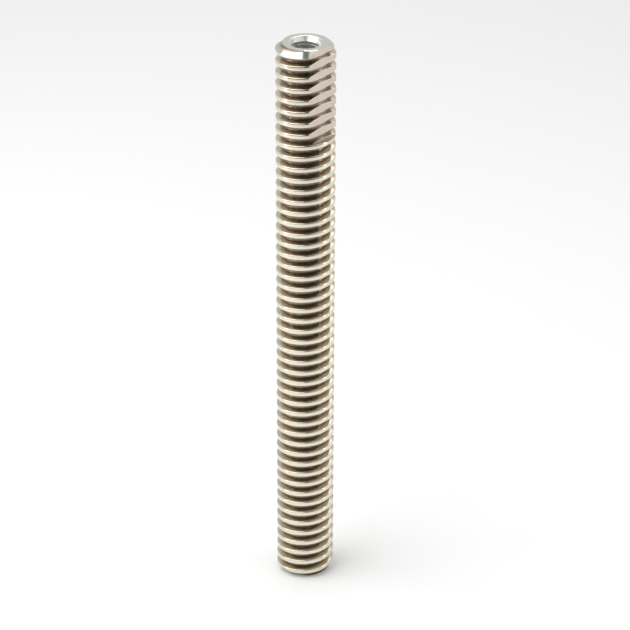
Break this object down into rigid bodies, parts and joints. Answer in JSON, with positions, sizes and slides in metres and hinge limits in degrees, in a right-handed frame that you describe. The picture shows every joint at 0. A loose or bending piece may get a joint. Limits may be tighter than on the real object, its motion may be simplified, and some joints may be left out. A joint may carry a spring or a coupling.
{
  "type": "trapezoidal lead screw spindle",
  "caption": "Trapezoidal-thread lead screw cut to length, with a tapped and countersunk end, a milled flat at that end and chamfered ends.",
  "frame": {"origin": "centre of the lower end face, on the spindle's axis", "axes": "+Z along the spindle's axis, from the plain end towards the tapped end; the milled flat faces between +X and -Y"},
  "size_m": [0.02, 0.02, 0.2],
  "materials": {
    "bright_steel": "bright rolled thread, matt milled flat"
  },
  "bodies": {
    "root": {"threaded_spindle": "bright_steel"}
  },
  "joints": []
}
